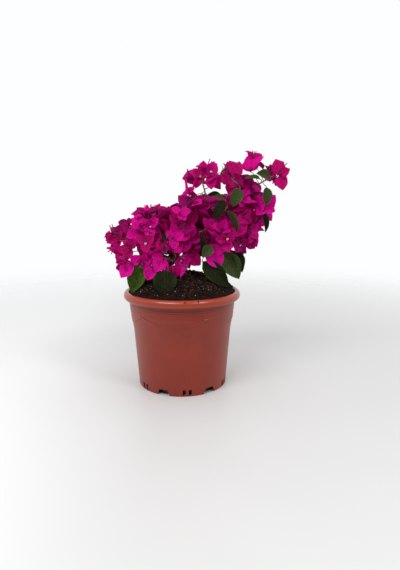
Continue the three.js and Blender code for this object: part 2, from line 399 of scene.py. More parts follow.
inside = np.vstack([
    run(moved_in(NECK, POT_WALL), moved_in(COLLAR_TOP, POT_WALL), 5),
    run(moved_in(COLLAR_TOP, POT_WALL), moved_in(COLLAR_FOOT, POT_WALL), 3),
    run(moved_in(COLLAR_FOOT, POT_WALL), (foot_at_floor - POT_WALL, inner_floor), 6),
    run((foot_at_floor - POT_WALL, inner_floor), (FLOOR_RADIUS + 0.001, inner_floor), 3),
    run((FLOOR_RADIUS + 0.001, inner_floor), (FLOOR_RADIUS - 0.001, POT_WALL), 2),
    run((FLOOR_RADIUS - 0.001, POT_WALL), (0.0005, POT_WALL), 5),
])
profile = np.vstack([outside, under_rim, over_rim, inside])
row_radius, row_height = profile.T[:, :, None]
column_angle = np.arange(POT_COLUMNS) * (2 * math.pi / POT_COLUMNS)
on_outside = (np.arange(len(profile)) < len(outside))[:, None]
relief = np.where(on_outside, raised_lines(column_angle, row_height), 0)
pot = mesh_piece("growing_pot", *turned(row_radius + relief, row_height, POT_COLUMNS))

bars = []
for opening in range(OPENINGS):
    turn = OPENING_TURN + opening * 2 * math.pi / OPENINGS
    for side in (-1, 1):
        slot = block(side * SLOT_SPACING / 2, SLOT_WIDTH, SLOT_WIDTH, *SLOT_HEIGHTS)
        bars.append(prism(slot, *OPENING_REACH, turn))
    notch = block(0, *NOTCH_WIDTHS, *NOTCH_HEIGHTS)
    bars.append(prism(notch, *OPENING_REACH, turn + math.pi / OPENINGS))
cut_away(pot, *gathered(bars))

hole_points, *hole_faces = turned(np.full((2, 1), HOLE_RADIUS), np.array(HOLE_HEIGHTS)[:, None], 14)
for place in range(HANGER_PLACES):
    for side in (-1, 1):
        middle = math.radians(HANGER_DEGREES + 360 / HANGER_PLACES * place)
        turn = middle + side * HOLE_SPACING / 2 / HOLE_CIRCLE
        shift = np.array([HOLE_CIRCLE * math.sin(turn), -HOLE_CIRCLE * math.cos(turn), 0])
        cut_away(pot, hole_points + shift, *hole_faces)
pot.data.set_sharp_from_angle(angle=math.radians(34))

paint = Paint("moulded_plastic", IOR=1.5, Coat_Roughness=0.2)
where = paint.place()
x, y, z = paint.parts_of(where)
cloud = paint.noise(where, 22, 4)
flow = paint.noise(paint.stretched(where, (60, 60, 9)), 1, 4)
scuff = paint.noise(paint.stretched(where, (320, 320, 1500)), 1, 3, 0.7).between(0.62, 0.72)
dust = paint.noise(where, 70, 5, 0.7).between(0.52, 0.75) * (1 - z.between(0.004, 0.03))
lip = z.between(0.1425, 0.1440)
plastic = paint.mixed(cloud.between(0.3, 0.7), (0.225, 0.0165, 0.0035), (0.265, 0.0215, 0.0050))
plastic = paint.mixed(flow.between(0.35, 0.75) * 0.3, plastic, (0.200, 0.016, 0.005))
# Painted light: the lip band is painted a lighter red so that it reads evenly lit, where shading would
# darken its lower half. The same band is also given a lower roughness.
plastic = paint.mixed(lip * 0.7, plastic, (0.35, 0.044, 0.018))
plastic = paint.mixed(scuff * 0.10, plastic, (0.36, 0.12, 0.09))
plastic = paint.mixed(dust * 0.30, plastic, (0.16, 0.09, 0.07))
# Painted shade: everything inside the foot ring below about 12 mm is painted near black, so that the
# openings in the foot read dark.
painted_underside_shade = (1 - z.between(0.0118, 0.0126)) * (1 - ((x * x + y * y) ** 0.5).between(0.0708, 0.0712))
plastic = paint.mixed(painted_underside_shade, plastic, (0.020, 0.006, 0.004))
grain = paint.noise(where, 1800, 2) * 0.5 + paint.noise(where, 240, 3)
paint.finish(
    pot,
    Base_Color=plastic,
    Roughness=0.30 + 0.14 * cloud + 0.10 * scuff + 0.2 * dust - 0.12 * lip,
    Normal=paint.bumped(grain, 0.00012, 0.6),
)
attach(pot, "root")
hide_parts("pot")

# ---------------------------------------------------------------- potting mix
# Moist dark peat with bark chips and pale grit. It fills the pot, keeps the shape that the pot gives
# it, and rises in a crumbly mound to the stem.

_, soil_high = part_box("potting_mix")
SOIL_TOP = soil_high.z
SOIL_EDGE = 0.1525
SOIL_GAP = POT_WALL + 0.00035
SOIL_COLUMNS = 400
SOIL_RINGS = 110


def lumps(x, y, cell, seed):
    """Smooth random values from -1 to 1 over a plane: a square lattice of random values, with a
    smooth step between them."""
    lattice = np.random.default_rng(seed).uniform(-1, 1, (256, 256))
    i, j = np.floor(x / cell).astype(int), np.floor(y / cell).astype(int)
    u, v = x / cell - i, y / cell - j
    u, v = u * u * (3 - 2 * u), v * v * (3 - 2 * v)
    corner = lambda a, b: lattice[(i + a) % 256, (j + b) % 256]
    low = corner(0, 0) * (1 - u) + corner(1, 0) * u
    high = corner(0, 1) * (1 - u) + corner(1, 1) * u
    return low * (1 - v) + high * v


def soil_height(x, y):
    """A blunt dome, 1 - r^3.4 to the power 0.6, a little lower towards +X, with three
    sizes of crumbs that fade out at the edge."""
    share = np.clip(np.hypot(x, y) / soil_high.x, 0, 1)
    dome = SOIL_EDGE + (SOIL_TOP - SOIL_EDGE) * (1 - share ** 3.4) ** 0.6
    crumbs = 0
    for rise, cell, seed in ((0.0016, 0.013, 11), (0.0011, 0.0052, 12), (0.0007, 0.0023, 13)):
        crumbs = crumbs + rise * lumps(x, y, cell, seed)
    dip = 0.0045 * np.clip(x / 0.045, 0, 1) ** 1.5 * (1 - share ** 4)
    return dome - dip + crumbs * (1 - share ** 8) - 0.0006


raised = RAISED_FLOOR + SOIL_GAP
body = np.array([
    (0.001, SOIL_GAP),
    (FLOOR_RADIUS - 0.00135, SOIL_GAP),
    (FLOOR_RADIUS + 0.0004, raised),
    (foot_at_floor - SOIL_GAP - 0.0004, raised),
    moved_in(COLLAR_FOOT, SOIL_GAP),
    moved_in(COLLAR_TOP, SOIL_GAP),
    (soil_high.x, SOIL_EDGE - 0.001),
])
ring_radius = soil_high.x * (1 - np.linspace(0, 0.99, SOIL_RINGS) ** 1.25)[:, None]
column_angle = np.arange(SOIL_COLUMNS) * (2 * math.pi / SOIL_COLUMNS)
top_height = soil_height(ring_radius * np.sin(column_angle), -ring_radius * np.cos(column_angle))
soil_radius = np.vstack([body[:, :1], ring_radius])
soil_rows = np.vstack([np.repeat(body[:, 1:], SOIL_COLUMNS, 1), top_height])
soil = mesh_piece("potting_mix_mound", *turned(soil_radius, soil_rows, SOIL_COLUMNS))


def peat_paint(name, dark, light, fleck):
    """Damp peat: two browns in clumps, and scattered flecks of a third colour."""
    paint = Paint(name, Specular_IOR_Level=0.12)
    where = paint.place()
    clump = paint.noise(where, 260, 4, 0.7).between(0.35, 0.68)
    flecks = 1 - paint.cells(where, 420).between(0.10, 0.22)
    brown = paint.mixed(clump, dark, light)
    brown = paint.mixed(flecks * paint.noise(where, 90).between(0.42, 0.6), brown, fleck)
    rough = paint.noise(where, 900, 3) * 0.15 + 0.8
    return paint, {
        "Base_Color": brown,
        "Roughness": rough,
        "Normal": paint.bumped(paint.noise(where, 1100, 4, 0.7), 0.0006, 0.9),
    }


mound_colours = (0.0042, 0.0016, 0.0012), (0.022, 0.0072, 0.0048), (0.090, 0.050, 0.040)
paint, peat = peat_paint("damp_peat", *mound_colours)
paint.finish(soil, **peat)
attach(soil, "root")
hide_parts("potting_mix")


def random_turns(rng, count):
    """Random rotation matrices from unit quaternions."""
    quaternions = rng.normal(size=(4, count))
    w, x, y, z = quaternions / np.linalg.norm(quaternions, axis=0)
    return np.stack([
        1 - 2 * (y * y + z * z), 2 * (x * y - z * w), 2 * (x * z + y * w),
        2 * (x * y + z * w), 1 - 2 * (x * x + z * z), 2 * (y * z - x * w),
        2 * (x * z - y * w), 2 * (y * z + x * w), 1 - 2 * (x * x + y * y),
    ], -1).reshape(-1, 3, 3)


# A bit of the mix starts as an icosahedron.
golden = (1 + math.sqrt(5)) / 2
chunk = np.array([
    (-1, golden, 0), (1, golden, 0), (-1, -golden, 0), (1, -golden, 0),
    (0, -1, golden), (0, 1, golden), (0, -1, -golden), (0, 1, -golden),
    (golden, 0, -1), (golden, 0, 1), (-golden, 0, -1), (-golden, 0, 1),
])
chunk = chunk / np.linalg.norm(chunk[0])
chunk_faces = np.array([
    (0, 11, 5), (0, 5, 1), (0, 1, 7), (0, 7, 10), (0, 10, 11), (1, 5, 9), (5, 11, 4),
    (11, 10, 2), (10, 7, 6), (7, 1, 8), (3, 9, 4), (3, 4, 2), (3, 2, 6), (3, 6, 8),
    (3, 8, 9), (4, 9, 5), (2, 4, 11), (6, 2, 10), (8, 6, 7), (9, 8, 1),
])


def scatter(name, count, size, shape_range, seed):
    """Loose bits on the mound: chunks with jogged corners, spread evenly over the disc."""
    rng = np.random.default_rng(seed)
    radius = (soil_high.x - 0.003) * np.sqrt(rng.uniform(0, 1, count))
    angle = rng.uniform(0, 2 * math.pi, count)
    x, y = radius * np.sin(angle), -radius * np.cos(angle)
    sizes = rng.uniform(*size, (count, 1)) * rng.uniform(*shape_range, (count, 3))
    height = soil_height(x, y) + 0.25 * sizes.min(1)
    shapes = chunk[None] * rng.uniform(0.72, 1.25, (count, len(chunk), 1))
    points = np.einsum("nij,nvj->nvi", random_turns(rng, count), shapes * sizes[:, None, :])
    points = points + np.stack([x, y, height], -1)[:, None, :]
    faces = chunk_faces[None] + np.arange(count)[:, None, None] * len(chunk)
    return mesh_piece(name, points.reshape(-1, 3), faces.reshape(-1, 3))


# How many bits, their sizes, how far each side differs from its size, and their three colours.
for name, count, size, shape_range, seed, *colours in (
    ("peat_crumbs", 4200, (0.0006, 0.0019), (0.6, 1.2), 21,
     (0.0035, 0.0022, 0.0018), (0.022, 0.0118, 0.0082), (0.06, 0.038, 0.028)),
    ("bark_chips", 420, (0.0014, 0.0034), (0.35, 1.5), 22,
     (0.014, 0.007, 0.0045), (0.055, 0.028, 0.018), (0.12, 0.075, 0.05)),
    ("pale_grit", 420, (0.0004, 0.0009), (0.7, 1.2), 23,
     (0.30, 0.22, 0.17), (0.55, 0.45, 0.38), (0.7, 0.62, 0.55)),
):
    bits = scatter(name, count, size, shape_range, seed)
    paint, peat = peat_paint(name + "_finish", *colours)
    paint.finish(bits, **peat)
    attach(bits, "root")

# ---------------------------------------------------------------- crown plan
# Where the shoots have to bring their bracts, leaves and thorns. Those that show most plainly are
# placed one by one; the rest are spread over each mass of foliage, up to a bract's length under
# its surface, and kept out of the openings that let the light through.

SITE_SPACING = 0.0168
SITE_TRIES = 30
SITE_DEPTH = (0.009, 0.021)
DEEPEST_SHARE = 0.7
# Six in ten of the sites that lie within or near another mass are left out.
OVERLAP = 0.004
OVERLAP_THINNED = 0.6
# Share of a mass's sites on its far side that bear leaves, where leafy_share has no other.
LEAFY_SHARE = 0.09
# Where the camera stands.
EYE = np.array([0, -0.72768, 0.29653])
front = np.array([0, -1.0, 0])
sky = np.array([0, 0, 1.0])


def metres(values):
    """A table's values in millimetres as an array in metres."""
    return np.array(values) / 1000


# Bracts grow in threes. Each row is the middle of a three and its three tips, in millimetres.
shown_threes = (
    ((109, 0, 344), (125, -8, 370), (112, 4, 373), (99, 6, 361)),
    ((155, -2, 338), (149, -4, 364), (170, -10, 348), (161, -9, 316)),
    ((160, 8, 337), (168, 14, 358), (172, 12, 330), (153, 16, 322)),
    ((140, 2, 340), (133, 0, 355), (142, -4, 356), (149, 6, 350)),
    ((133, -2, 290), (148, -8, 309), (148, -10, 282), (119, -6, 277)),
    ((85, -4, 336), (76, -8, 361), (92, 2, 360), (97, -8, 342)),
    ((73, -2, 324), (66, -6, 342), (74, -10, 306), (84, -12, 322)),
    ((47, -3, 337), (50, -6, 360), (47, -8, 316), (36, 0, 346)),
    ((30, -2, 334), (19, -4, 349), (22, -6, 318), (42, 4, 345)),
    ((13, -3, 309), (7, -8, 334), (2, 6, 314), (14, 10, 324)),
    ((12, -14, 290), (-5, -18, 307), (-2, -20, 281), (19, -16, 305)),
    ((-76, -46, 205), (-93, -54, 185), (-88, -42, 206), (-63, -50, 218)),
    ((-44, -50, 201), (-53, -56, 181), (-58, -54, 195), (-36, -54, 212)),
    ((-80, -36, 228), (-84, -42, 210), (-97, -38, 223), (-72, -44, 244)),
    ((-98, -10, 237), (-117, -10, 239), (-106, -16, 224), (-95, -18, 253)),
    ((-28, -50, 215), (-40, -58, 194), (-22, -60, 192), (-46, -54, 217)),
    ((2, -40, 213), (-2, -48, 190), (-13, -52, 207), (13, -44, 211)),
    ((12, -26, 219), (28, -32, 199), (27, -34, 223), (7, -34, 203)),
    ((-38, -6, 282), (-34, -6, 295), (-47, -10, 290), (-48, -16, 278)),
    ((-16, -10, 275), (-8, -10, 290), (-21, -6, 291), (-2, -18, 276)),
    ((-82, -8, 262), (-101, -8, 265), (-84, -4, 273), (-89, -18, 249)),
    ((-101, -4, 248), (-113, -6, 257), (-98, -4, 262), (-112, -12, 244)),
    ((-3, -24, 280), (15, -28, 284), (6, -34, 268), (-15, -24, 290)),
    ((40, -26, 257), (54, -32, 271), (35, -30, 274), (50, -38, 248)),
    ((62, -28, 254), (68, -34, 272), (49, -36, 263), (74, -40, 254)),
    ((44, -32, 226), (59, -42, 197), (65, -42, 224), (33, -36, 213)),
    ((90, -26, 235), (101, -32, 218), (107, -28, 238), (83, -36, 219)),
    ((108, -10, 252), (122, -12, 263), (122, -14, 240), (108, -22, 233)),
    ((67, -40, 239), (80, -46, 252), (72, -50, 222), (51, -46, 243)),
    ((-49, -34, 260), (-62, -38, 271), (-36, -40, 273), (-49, -46, 243)),
    ((-55, -48, 237), (-68, -50, 246), (-42, -54, 247), (-53, -58, 222)),
    ((-13, -44, 243), (-24, -48, 254), (3, -48, 250), (-11, -54, 227)),
    ((97, -14, 275), (108, -18, 287), (109, -20, 264), (87, -26, 263)),
    ((95, -14, 305), (106, -18, 318), (107, -22, 295), (90, -24, 289)),
)
# A leaf's foot and tip in millimetres, its width over its length, how sharply it is folded, and
# which way its upper side looks.
# The first column is the leaf's tint. The dark tint goes to the leaves low in the crown's shade and the mid
# tint to the lighter leaves on top, so it is partly the leaves' own green and partly painted shade and
# light.
shown_leaves = (
    ("leaves_dark", (67, -32, 299), (48, -38, 270), 0.55, 0.3, (-0.6, -1, 0.4)),
    ("leaves_mid", (89, -26, 318), (78, -34, 290), 0.66, 0.2, (0.1, -1, 0.2)),
    ("leaves_mid", (64, -28, 302), (49, -34, 307), 0.62, 0.3, (-0.2, -1, 0.8)),
    ("leaves_mid", (66, -40, 284), (87, -46, 251), 0.40, 1.2, (0.7, -1, 0.2)),
    ("leaves_fresh", (124, -8, 332), (99, -14, 336), 0.45, 0.6, (0, -0.7, 1)),
    ("leaves_mid", (139, -6, 337), (118, -12, 342), 0.75, 0.4, (0, -1, 0.4)),
    ("leaves_mid", (133, -10, 320), (134, -16, 291), 0.60, 0.4, (0.3, -1, 0.2)),
    ("leaves_dark", (129, -4, 281), (137, -8, 249), 0.44, 0.7, (0.6, -1, 0.2)),
    ("leaves_dark", (27, -32, 251), (33, -40, 214), 0.42, 0.5, (0.9, -0.7, 0.2)),
    ("leaves_mid", (46, -38, 231), (31, -44, 214), 0.78, 0.3, (0.2, -1, 0.5)),
    ("leaves_dark", (-21, -40, 252), (-28, -55, 239), 0.55, 0.3, (0.1, -1, 0.6)),
    ("leaves_fresh", (-57, -38, 206), (-82, -42, 158), 0.60, 0.3, (-0.25, -1, 0.45)),
    ("leaves_dark", (-26, -60, 197), (-25, -76, 160), 0.90, 0.12, (0.1, -1, 0.35)),
    ("leaves_dark", (32, -34, 206), (74, -46, 168), 0.52, 0.3, (-0.5, -1, 0.8)),
    ("leaves_mid", (66, -26, 220), (90, -36, 178), 0.66, 0.35, (-0.2, -1, 0.4)),
    ("leaves_dark", (80, -23, 221), (98, -28, 188), 0.60, 0.4, (0.4, -1, 0.3)),
    ("leaves_dark", (-6, 52, 209), (-28, 64, 184), 0.62, 0.25, (0, 1, 0.5)),
    ("leaves_mid", (2, 54, 208), (14, 66, 182), 0.66, 0.25, (0.2, 1, 0.5)),
    ("leaves_mid", (96, 40, 232), (106, 52, 204), 0.64, 0.3, (0.6, 1, 0.4)),
    ("leaves_dark", (-84, 34, 232), (-96, 44, 206), 0.62, 0.3, (-0.6, 1, 0.4)),
)
# A thorn's foot and tip, in millimetres.
shown_thorns = (
    ((0, -14, 290), (-10, -16, 297)),
    ((-36, -14, 281), (-43, -16, 295)),
    ((24, -6, 333), (14, -8, 341)),
    ((70, -8, 342), (62, -10, 354)),
    ((-106, -8, 248), (-113, -10, 258)),
    ((117, 4, 264), (129, 2, 269)),
)
# Openings through the crown: across, up and half width, in millimetres, where the line of sight
# meets the pot's upright middle plane.
openings = metres([
    (31, 319, 8.5), (38, 317, 8.0), (55, 317, 8.5), (64, 319, 6.0), (112, 280, 6.0),
    (27, 190, 12.4), (40, 185, 7.0), (14, 190, 7.0), (25, 236, 4.4), (22, 247, 3.4),
    (-57, 253, 2.6), (-57, 225, 2.8), (-26, 227, 2.4), (-82, 210, 5.6), (-73, 206, 3.4),
    (-46, 194, 3.1), (125, 335, 4.7), (140, 326, 6.2), (145, 317, 4.7), (58, 269, 3.0),
])
# The masses whose front is all placed one by one, which get other sites only where their surface looks this
# far backwards, and the masses with more leaves than the others.
hand_set = ("mass_upper_left", "mass_upper_middle", "mass_top", "mass_tip", "mass_hanging_shoot")
BACKWARDS = 0.25
leafy_share = {"mass_neck": 0.30, "mass_shoulder": 0.22, "mass_centre": 0.12}
masses = sorted(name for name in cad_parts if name.startswith("mass_"))
growth_rng = np.random.default_rng(4)


def unit(vectors):
    """Vectors of length 1."""
    return vectors / np.maximum(np.linalg.norm(vectors, axis=-1, keepdims=True), 1e-12)


def triangles_of(node):
    """A CAD node's corners and its triangles."""
    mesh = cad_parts[node].data
    points = np.zeros(len(mesh.vertices) * 3)
    mesh.vertices.foreach_get("co", points)
    mesh.calc_loop_triangles()
    triangles = np.zeros(len(mesh.loop_triangles) * 3, np.int32)
    mesh.loop_triangles.foreach_get("vertices", triangles)
    return points.reshape(-1, 3), triangles.reshape(-1, 3)


def seen_at(points):
    """Where the line of sight to each point meets the pot's upright middle plane: across and up."""
    reach = points - EYE
    return (EYE + reach * (-EYE[1] / reach[:, 1])[:, None])[:, ::2]


# Each listed blade keeps a round patch clear before its middle. The patch's radius is a share of the
# blade's length.
blades_shown = [(foot, tip, 0.44) for _, foot, tip, *_ in shown_leaves]
blades_shown += [(middle, tip, 0.30) for middle, *tips in shown_threes for tip in tips]
feet, tips, share = (np.array(column) for column in zip(*blades_shown))
blade_middles = metres(feet + tips) / 2
blade_halves = metres(share * np.linalg.norm(tips - feet, axis=1))


def in_opening(points):
    """Whether the line of sight to each point runs through an opening."""
    away = np.linalg.norm(seen_at(points)[:, None] - openings[None, :, :2], axis=2)
    return (away < openings[:, 2]).any(1)


def hides_blade(points):
    """Whether each point stands in front of a listed leaf or bract."""
    away = np.linalg.norm(seen_at(points)[:, None] - seen_at(blade_middles)[None], axis=2)
    in_front = points[:, None, 1] < blade_middles[None, :, 1] + 0.010
    return ((away < blade_halves) & in_front).any(1)


def surface_sites(node, rng):
    """Random points of a node's surface, each dropped if it is closer than the spacing to a kept one."""
    points, triangles = triangles_of(node)
    a, b, c = points[triangles].transpose(1, 0, 2)
    area = np.linalg.norm(np.cross(b - a, c - a), axis=1) / 2
    tries = SITE_TRIES * int(area.sum() / SITE_SPACING ** 2 + 4)
    pick = rng.choice(len(triangles), tries, p=area / area.sum())
    u, v = rng.uniform(0, 1, (2, len(pick), 1))
    u, v = np.where(u + v > 1, 1 - u, u), np.where(u + v > 1, 1 - v, v)
    candidates = a[pick] + u * (b - a)[pick] + v * (c - a)[pick]
    kept = candidates[:1]
    for candidate in candidates[1:]:
        if np.linalg.norm(kept - candidate, axis=1).min() > SITE_SPACING:
            kept = np.vstack([kept, candidate])
    return kept, points.mean(0)


trees = {}
for node in masses:
    points, triangles = triangles_of(node)
    trees[node] = BVHTree.FromPolygons(points.tolist(), triangles.tolist())


def outside_by(point, skip=None):
    """How far a point lies outside the masses of foliage; inside one it is negative."""
    gaps = []
    for node, tree in trees.items():
        if node != skip:
            near, normal, _, gap = tree.find_nearest(Vector(point))
            gaps.append(math.copysign(gap, (Vector(point) - near).dot(normal)))
    return min(gaps)


sites = [(metres(middle), "shown three") for middle, *_ in shown_threes]
sites += [(metres(foot), "shown leaf") for _, foot, *_ in shown_leaves]
sites += [(metres(foot), "shown thorn") for foot, _ in shown_thorns]
outward = [front] * len(sites)
for node in masses:
    surface, middle = surface_sites(node, growth_rng)
    for point in surface:
        reach = point - middle
        if node in hand_set and unit(reach)[1] < BACKWARDS:
            continue
        if outside_by(point, skip=node) < OVERLAP and growth_rng.uniform() < OVERLAP_THINNED:
            continue
        depth = min(growth_rng.uniform(*SITE_DEPTH), DEEPEST_SHARE * np.linalg.norm(reach))
        place = point - unit(reach) * depth
        if in_opening(place[None])[0]:
            continue
        may_be_leafy = unit(reach)[1] > 0 and node not in hand_set
        leafy = may_be_leafy and growth_rng.uniform() < leafy_share.get(node, LEAFY_SHARE)
        sites.append((place, "leaves" if leafy else "threes"))
        outward.append(unit(reach))
site_kinds = [kind for _, kind in sites]
sites, outward = np.array([place for place, _ in sites]), np.array(outward)


def sites_of(wanted):
    """The numbers of the sites of one kind."""
    return [index for index, kind in enumerate(site_kinds) if kind == wanted]


# ---------------------------------------------------------------- stem, boughs and twigs
# A short woody stem with grey-brown bark forks just over the potting mix. Boughs run to the masses,
# long shoots arch on to the upper right, and twigs branch off to every spray.

# How far a twig grows in one round, and how near it comes to the site that it is for.
STEP = 0.004
REACHED = 0.0055
GROWTH_ROUNDS = 46
# What sets the radii, and the radius from which a limb bears bark in relief.
TIP_RADIUS = 0.00040
PIPE_POWER = 2.35
STEM_RADIUS = 0.0054
THINNEST = 0.00036
LIMB_RADIUS = 0.0016
ROOT_FLARE = 0.0034
BARK_LATTICE = 16


def far_end(node, start):
    """The middle of the end of a CAD limb that lies furthest from a point."""
    points, _ = triangles_of(node)
    away = np.linalg.norm(points - start, axis=1)
    return points[away > away.max() - 0.003].mean(0)


def middle_of(node):
    """The middle of a CAD node's box."""
    low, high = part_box(node)
    return np.array((low + high) / 2)


stem_low, stem_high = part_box("stem")
stem_points, _ = triangles_of("stem")
foot = stem_points[stem_points[:, 2] < stem_low.z + 0.0001].mean(0)
fork = stem_points[stem_points[:, 2] > stem_high.z - 0.0001].mean(0)
nodes, parents = [foot], [-1]


def add_line(start, keys):
    """Adds a smooth line of skeleton points that goes on from the point numbered start."""
    last = start
    for point in smooth_path([nodes[start], *keys], STEP)[1:]:
        nodes.append(point)
        parents.append(last)
        last = len(nodes) - 1
    return last


def nearest_node(point):
    """The number of the skeleton point nearest to a point."""
    return int(np.linalg.norm(np.array(nodes) - point, axis=1).argmin())


fork_node = add_line(0, [fork])
for bough, mass in (
    ("bough_left", "mass_left"),
    ("bough_middle", "mass_middle"),
    ("bough_back", "mass_back_middle"),
    ("bough_right", "mass_right"),
):
    entry = far_end(bough, fork)
    add_line(fork_node, [middle_of(bough), entry, 0.5 * (entry + middle_of(mass))])
for shoot, start, mass in (
    ("shoot_right", "mass_right", "mass_shoulder"),
    ("shoot_upper", "mass_centre", "mass_upper_left"),
    ("shoot_tip", "mass_shoulder", "mass_tip"),
    ("shoot_hanging", "mass_shoulder", "mass_hanging_shoot"),
):
    exit_point = far_end(shoot, middle_of(mass))
    entry = far_end(shoot, exit_point)
    add_line(nearest_node(middle_of(start)), [exit_point, middle_of(shoot), entry, middle_of(mass)])

# Each round, every waiting site pulls the skeleton point nearest to it, and each pulled point puts
# out one step towards the mean of its sites, bent a little upwards and to one side. A site that is
# still waiting after the last round gets a straight twig.
skeleton = np.array(nodes)
waiting = np.arange(len(sites))
site_node = np.full(len(sites), -1)
for _ in range(GROWTH_ROUNDS):
    gaps = np.linalg.norm(sites[waiting, None] - skeleton[None], axis=2)
    nearest = gaps.argmin(1)
    reached = gaps.min(1) < REACHED
    site_node[waiting[reached]] = nearest[reached]
    waiting, nearest = waiting[~reached], nearest[~reached]
    if not len(waiting):
        break
    grown = []
    for pulled in np.unique(nearest):
        pull = unit(sites[waiting[nearest == pulled]] - skeleton[pulled]).sum(0)
        heading = unit(unit(pull) + growth_rng.normal(0, 0.16, 3) + (0, 0, 0.06))
        grown.append(skeleton[pulled] + STEP * heading)
        parents.append(int(pulled))
    skeleton = np.vstack([skeleton, grown])
for site in waiting:
    start = int(np.linalg.norm(skeleton - sites[site], axis=1).argmin())
    steps = max(2, int(np.linalg.norm(sites[site] - skeleton[start]) / STEP))
    line = skeleton[start] + (sites[site] - skeleton[start]) * np.linspace(0, 1, steps + 1)[1:, None]
    parents.extend([start, *range(len(skeleton), len(skeleton) + steps - 1)])
    skeleton = np.vstack([skeleton, line])
    site_node[site] = len(skeleton) - 1
parents = np.array(parents)
anchors = skeleton[site_node]

# A limb carries what its branches carry together: the powers of their radii add up to its own.
flow = np.zeros(len(skeleton))
has_child = np.zeros(len(skeleton), bool)
has_child[parents[1:]] = True
flow[~has_child] = TIP_RADIUS ** PIPE_POWER
for index in range(len(skeleton) - 1, 0, -1):
    flow[parents[index]] += flow[index]
radius = flow ** (1 / PIPE_POWER)
radius = np.minimum(radius * STEM_RADIUS / radius[0], STEM_RADIUS)
radius = np.maximum(radius, THINNEST)


def tube(path, widths, sides, relief=None):
    """A section carried along a path: round each point the ring lies across the path's tangent.
    relief(angle, length) scales the radius. Both ends close on a point."""
    tangent = unit(np.gradient(path, axis=0))
    reference = np.linalg.svd(tangent)[2][-1]
    side = unit(reference - (tangent @ reference)[:, None] * tangent)
    up = np.cross(tangent, side)
    angle = np.arange(sides) * (2 * math.pi / sides)
    length = np.concatenate([[0], np.cumsum(np.linalg.norm(np.diff(path, axis=0), axis=1))])
    swell = 1 if relief is None else relief(angle[None, :], length[:, None])
    ring = (widths[:, None] * swell)[:, :, None]
    around = np.cos(angle)[None, :, None] * side[:, None] + np.sin(angle)[None, :, None] * up[:, None]
    grid = path[:, None] + ring * around
    points = np.vstack([grid.reshape(-1, 3), path[:1], path[-1:] + tangent[-1:] * widths[-1]])
    step = np.arange(sides)
    beside = (step + 1) % sides
    first, top = len(points) - 2, (len(path) - 1) * sides
    start_fan = np.stack([np.full(sides, first), beside, step], -1)
    end_fan = np.stack([np.full(sides, first + 1), top + step, top + beside], -1)
    return points, grid_faces(len(path), sides, around=True), np.vstack([start_fan, end_fan])


def joined(name, tubes):
    """Many (points, quads, triangles) shapes as one piece."""
    offsets = np.cumsum([0] + [len(points) for points, _, _ in tubes])
    quads = np.vstack([quads + offset for (_, quads, _), offset in zip(tubes, offsets)])
    fans = np.vstack([fans + offset for (_, _, fans), offset in zip(tubes, offsets)])
    return mesh_piece(name, np.vstack([points for points, _, _ in tubes]), quads, fans)


def bark_relief(angle, length):
    """Long shallow furrows that wander round the limb, and a swelling every few centimetres. The
    random lattice is walked out and back over the last of its columns, so the furrows meet."""
    around = angle / (2 * math.pi) * BARK_LATTICE
    folded = np.where(around > BARK_LATTICE - 1, BARK_LATTICE - around, around)
    furrows = 0.085 * lumps(folded, length / 0.006, 1.0, 31)
    cracks = 0.05 * lumps(folded, length / 0.0018, 1.0, 32)
    knots = np.exp(-(((length % 0.019) - 0.0095) / 0.0016) ** 2)
    return 1 + furrows + cracks + 0.07 * knots


def resampled(values, count):
    """Values spread evenly over a line, at count places instead."""
    return np.interp(np.linspace(0, 1, count), np.linspace(0, 1, len(values)), values)


# The skeleton is cut into chains that each follow the thickest branch at every fork. The thick
# chains get bark in relief, and the rest are plain twigs.
children = [[] for _ in skeleton]
for index in range(1, len(skeleton)):
    children[parents[index]].append(index)
limbs, twigs, starts = [], [], [(0, None)]
while starts:
    index, origin = starts.pop()
    chain = [] if origin is None else [origin]
    while True:
        chain.append(index)
        if not children[index]:
            break
        follow = max(children[index], key=lambda child: flow[child])
        starts.extend((child, index) for child in children[index] if child != follow)
        index = follow
    path, widths = skeleton[chain], radius[chain].copy()
    if origin is not None:
        widths[0] = widths[1]
    if len(path) > 2:
        path[1:-1] = 0.5 * path[1:-1] + 0.25 * (path[:-2] + path[2:])
    else:
        path = np.linspace(path[0], path[-1], 3)
        widths = resampled(widths, 3)
    if widths[0] > LIMB_RADIUS:
        path = smooth_path(path, 0.0011)
        widths = resampled(widths, len(path))
        if origin is None:
            up = (path[:, 2] - foot[2]) / (fork[2] - foot[2])
            widths = widths + ROOT_FLARE * np.exp(-8 * up)
        limbs.append(tube(path, widths, 16, bark_relief))
    else:
        twigs.append(tube(path, widths, 5))
stem = joined("stem_and_boughs", limbs)
twig_piece = joined("twigs", twigs)

paint = Paint("bark", Specular_IOR_Level=0.3)
where = paint.place()
furrow = paint.noise(paint.stretched(where, (700, 700, 190)), 1, 4, 0.65)
patch = paint.noise(where, 130, 4, 0.6).between(0.4, 0.65)
bark = paint.mixed(furrow.between(0.3, 0.7), (0.055, 0.038, 0.024), (0.22, 0.170, 0.11))
bark = paint.mixed(patch * 0.5, bark, (0.28, 0.24, 0.18))
paint.finish(stem, Base_Color=bark, Roughness=0.7 + 0.25 * furrow, Normal=paint.bumped(furrow, 0.0006, 0.8))
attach(stem, "root")
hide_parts("stem", *sorted(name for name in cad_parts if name.startswith(("bough_", "shoot_"))))

paint = Paint("young_bark", Specular_IOR_Level=0.35)
where = paint.place()
streak = paint.noise(paint.stretched(where, (500, 500, 160)), 1, 3, 0.6)
green = paint.mixed(streak.between(0.3, 0.7), (0.10, 0.095, 0.040), (0.26, 0.16, 0.10))
fine_bark = paint.bumped(streak, 0.0003, 0.6)
paint.finish(twig_piece, Base_Color=green, Roughness=0.55 + 0.2 * streak, Normal=fine_bark)
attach(twig_piece, "root")

